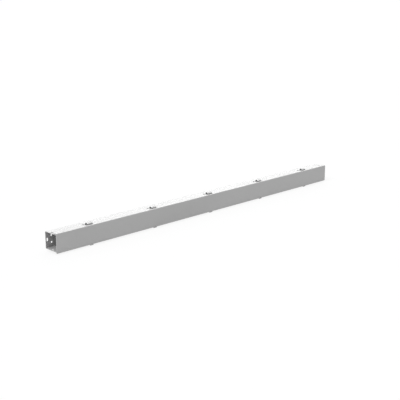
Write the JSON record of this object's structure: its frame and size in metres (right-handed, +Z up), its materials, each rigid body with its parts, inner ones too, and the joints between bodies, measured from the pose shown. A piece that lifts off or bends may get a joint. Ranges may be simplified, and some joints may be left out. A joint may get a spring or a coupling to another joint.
{
  "type": "hinged_cover_wireway",
  "caption": "Grey painted steel wireway: a square folded trough with a full-length front cover hinged along its lower edge and held shut by spring clips on top",
  "frame": {"origin": "under the middle of the wireway, level with the lowest point of the hinge knuckles", "axes": "+X along the wireway, +Y from the cover to the back wall, +Z up"},
  "size_m": [1.524, 0.0654, 0.0835],
  "materials": {
    "painted_steel": "satin",
    "pin_steel": "satin"
  },
  "bodies": {
    "trough_body": {"trough": "painted_steel", "hinge_leaf_1": "painted_steel", "hinge_leaf_2": "painted_steel", "hinge_leaf_3": "painted_steel", "hinge_leaf_4": "painted_steel", "hinge_leaf_5": "painted_steel", "hinge_pin_1": "pin_steel", "hinge_pin_2": "pin_steel", "hinge_pin_3": "pin_steel", "hinge_pin_4": "pin_steel", "hinge_pin_5": "pin_steel", "latch_clip_1": "painted_steel", "latch_clip_2": "painted_steel", "latch_clip_3": "painted_steel", "latch_clip_4": "painted_steel", "latch_clip_5": "painted_steel"},
    "cover_body": {"cover": "painted_steel"}
  },
  "joints": [
    {"name": "cover_hinge", "type": "hinge", "parent": "trough_body", "child": "cover_body", "pos_m": [0, -0.0296, 0.00305], "axis": [1, 0, 0], "range_deg": [0, 90], "deforming": ["latch_clip_1", "latch_clip_2", "latch_clip_3", "latch_clip_4", "latch_clip_5"]}
  ]
}
